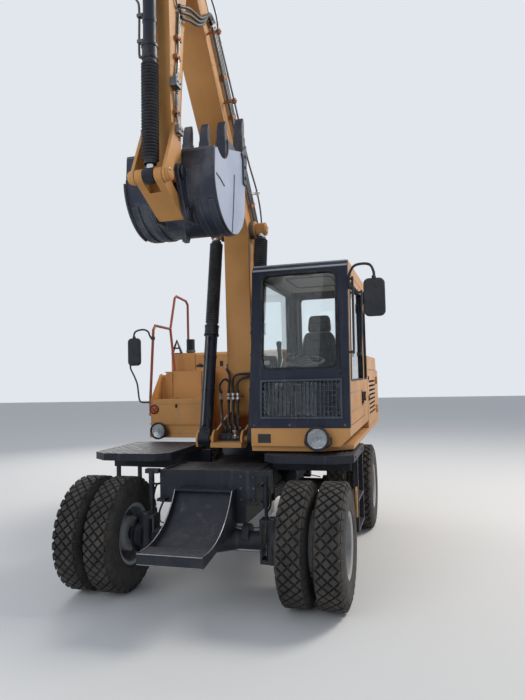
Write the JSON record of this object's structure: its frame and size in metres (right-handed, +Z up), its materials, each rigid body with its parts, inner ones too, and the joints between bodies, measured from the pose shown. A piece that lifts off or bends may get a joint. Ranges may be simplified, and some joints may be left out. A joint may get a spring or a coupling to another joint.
{
  "type": "wheeled excavator",
  "caption": "Wheeled excavator with twin tyres, orange upper works, dark chassis and a raised backhoe bucket.",
  "frame": {"origin": "on the ground, at the middle of the machine's length and at the chassis' centre line", "axes": "+Z up, +X to the machine's left, -Y to its front, with the upper works facing the front"},
  "size_m": [3.145, 5.178, 6.1779],
  "materials": {
    "paint": "semi-gloss orange-yellow paint",
    "dark_paint": "semi-gloss navy black paint",
    "rail_paint": "worn red-brown paint",
    "rim": "silver-grey paint",
    "steel": "bare machined steel",
    "rod": "polished",
    "iron": "rough",
    "tyre": "dusty block tread",
    "boot": "matt",
    "glass": "clear",
    "plastic": "textured",
    "cloth": "woven"
  },
  "bodies": {
    "chassis": {"chassis_frame": "dark_paint", "pedestal": "dark_paint", "outriggers": "dark_paint", "boarding_step": "dark_paint", "side_platforms": "dark_paint", "ladders": "dark_paint", "front_axle": "dark_paint", "rear_axle": "dark_paint", "lock_cylinders": "dark_paint", "driveline": "iron", "slew_ring": "steel"},
    "knuckle_left": {"knuckle_left": "dark_paint"},
    "knuckle_right": {"knuckle_right": "dark_paint"},
    "tie_rod": {"tie_rod": "steel"},
    "wheel_front_left": {"tyres_front_left": "tyre", "hub_front_left": "rim"},
    "wheel_front_right": {"tyres_front_right": "tyre", "hub_front_right": "rim"},
    "wheel_rear_left": {"tyres_rear_left": "tyre", "hub_rear_left": "rim"},
    "wheel_rear_right": {"tyres_rear_right": "tyre", "hub_rear_right": "rim"},
    "upper": {"upper_frame": "paint", "counterweight": "paint", "engine_block": "iron", "housing": "paint", "fuel_tank": "paint", "tool_box": "paint", "handrails": "rail_paint", "exhaust": "dark_paint", "cab_base": "paint", "cab_frame": "dark_paint", "cab_glass": "glass", "window_guard": "steel", "seat": "cloth", "controls": "plastic", "mirrors": "plastic", "work_lamps": "steel", "hose_manifold": "dark_paint"},
    "engine_hood": {"engine_hood": "paint"},
    "pump_door": {"pump_door": "paint"},
    "radiator_door": {"radiator_door": "paint"},
    "tool_box_lid": {"tool_box_lid": "paint"},
    "cab_door": {"cab_door": "dark_paint", "door_glass": "glass"},
    "boom": {"boom": "paint", "boom_pipes": "dark_paint"},
    "lift_barrels": {"lift_barrels": "dark_paint"},
    "lift_rods": {"lift_rods": "rod", "lift_gaiters": "boot"},
    "arm": {"arm": "paint"},
    "crowd_barrel": {"crowd_barrel": "dark_paint"},
    "crowd_rod": {"crowd_rod": "rod"},
    "curl_barrel": {"curl_barrel": "dark_paint"},
    "curl_rod": {"curl_rod": "rod", "curl_gaiter": "boot"},
    "rockers": {"rockers": "paint"},
    "push_link": {"push_link": "paint"},
    "bucket": {"bucket": "dark_paint"}
  },
  "joints": [
    {"name": "steer_left", "type": "hinge", "parent": "chassis", "child": "knuckle_left", "pos_m": [0.6, -1.5305, 0.51], "axis": [0, 0, 1], "range_deg": [-28, 28]},
    {"name": "steer_right", "type": "hinge", "parent": "chassis", "child": "knuckle_right", "pos_m": [-0.6, -1.5305, 0.51], "axis": [0, 0, 1], "range_deg": [-28, 28]},
    {"name": "wheel_front_left_spin", "type": "hinge", "parent": "knuckle_left", "child": "wheel_front_left", "pos_m": [0.98, -1.5305, 0.51], "axis": [1, 0, 0], "continuous": true},
    {"name": "wheel_rear_left_spin", "type": "hinge", "parent": "chassis", "child": "wheel_rear_left", "pos_m": [0.98, 1.0195, 0.51], "axis": [1, 0, 0], "continuous": true},
    {"name": "wheel_front_right_spin", "type": "hinge", "parent": "knuckle_right", "child": "wheel_front_right", "pos_m": [-0.98, -1.5305, 0.51], "axis": [1, 0, 0], "continuous": true},
    {"name": "wheel_rear_right_spin", "type": "hinge", "parent": "chassis", "child": "wheel_rear_right", "pos_m": [-0.98, 1.0195, 0.51], "axis": [1, 0, 0], "continuous": true},
    {"name": "tie_rod_turn", "type": "hinge", "parent": "knuckle_left", "child": "tie_rod", "pos_m": [0.6, -1.3105, 0.355], "axis": [0, 0, 1], "range_deg": [-28, 28]},
    {"name": "swing", "type": "hinge", "parent": "chassis", "child": "upper", "pos_m": [0, 0.4695, 1.228], "axis": [0, 0, 1], "continuous": true},
    {"name": "cab_door_swing", "type": "hinge", "parent": "upper", "child": "cab_door", "pos_m": [1.26, 0.0695, 2.1], "axis": [0, 0, 1], "range_deg": [0, 150]},
    {"name": "pump_door_swing", "type": "hinge", "parent": "upper", "child": "pump_door", "pos_m": [-1.26, 1.7695, 1.625], "axis": [0, 0, -1], "range_deg": [0, 110]},
    {"name": "radiator_door_swing", "type": "hinge", "parent": "upper", "child": "radiator_door", "pos_m": [1.26, 1.7842, 1.625], "axis": [0, 0, 1], "range_deg": [0, 110]},
    {"name": "engine_hood_lift", "type": "hinge", "parent": "upper", "child": "engine_hood", "pos_m": [-0.3, 1.8495, 2.05], "axis": [-1, 0, 0], "range_deg": [0, 60]},
    {"name": "tool_box_lid_lift", "type": "hinge", "parent": "upper", "child": "tool_box_lid", "pos_m": [-0.9, 0.1145, 1.67], "axis": [-1, 0, 0], "range_deg": [0, 88]},
    {"name": "boom_lift", "type": "hinge", "parent": "upper", "child": "boom", "pos_m": [0, -0.2505, 1.6], "axis": [1, 0, 0], "range_deg": [0, 65]},
    {"name": "lift_barrels_turn", "type": "hinge", "parent": "upper", "child": "lift_barrels", "pos_m": [0, -0.8955, 1.3], "axis": [1, 0, 0], "range_deg": [0, 61]},
    {"name": "lift_rods_slide", "type": "slide", "parent": "lift_barrels", "child": "lift_rods", "axis": [0, -0.2068, -0.9784], "range_m": [0, 0.759], "deforming": ["lift_gaiters"]},
    {"name": "arm_swing", "type": "hinge", "parent": "boom", "child": "arm", "pos_m": [0, -2.1205, 5.59], "axis": [-1, 0, 0], "range_deg": [0, 115]},
    {"name": "crowd_barrel_turn", "type": "hinge", "parent": "boom", "child": "crowd_barrel", "pos_m": [0, -0.2905, 4.02], "axis": [-1, 0, 0], "range_deg": [0, 10.4]},
    {"name": "crowd_rod_slide", "type": "slide", "parent": "crowd_barrel", "child": "crowd_rod", "axis": [0, 0.7039, -0.7103], "range_m": [0, 0.874]},
    {"name": "bucket_curl", "type": "hinge", "parent": "arm", "child": "bucket", "pos_m": [0, -2.2905, 3.49], "axis": [-1, 0, 0], "range_deg": [0, 145]},
    {"name": "rockers_turn", "type": "hinge", "parent": "arm", "child": "rockers", "pos_m": [0, -2.3305, 3.81], "axis": [-1, 0, 0], "range_deg": [0, 95]},
    {"name": "push_link_turn", "type": "hinge", "parent": "rockers", "child": "push_link", "pos_m": [0, -2.5305, 3.4], "axis": [-1, 0, 0], "range_deg": [-47, 0]},
    {"name": "curl_barrel_turn", "type": "hinge", "parent": "arm", "child": "curl_barrel", "pos_m": [0, -2.4905, 5.33], "axis": [-1, 0, 0], "range_deg": [0, 13.1]},
    {"name": "curl_rod_slide", "type": "slide", "parent": "curl_barrel", "child": "curl_rod", "axis": [0, 0.0207, 0.9998], "range_m": [0, 0.587], "deforming": ["curl_gaiter"]}
  ],
  "couplings": [
    {"joint": "steer_right", "follows": "steer_left", "ratio": 1},
    {"joint": "tie_rod_turn", "follows": "steer_left", "ratio": -1},
    {"joint": "lift_barrels_turn", "follows": "boom_lift", "ratio": 0.9268},
    {"joint": "lift_rods_slide", "follows": "boom_lift", "m_per_rad": 0.66422},
    {"joint": "crowd_barrel_turn", "follows": "arm_swing", "ratio": 0.0848},
    {"joint": "crowd_rod_slide", "follows": "arm_swing", "m_per_rad": 0.43271},
    {"joint": "rockers_turn", "follows": "bucket_curl", "ratio": 0.64904},
    {"joint": "push_link_turn", "follows": "bucket_curl", "ratio": -0.31648},
    {"joint": "curl_barrel_turn", "follows": "bucket_curl", "ratio": 0.08608},
    {"joint": "curl_rod_slide", "follows": "bucket_curl", "m_per_rad": 0.22986}
  ]
}
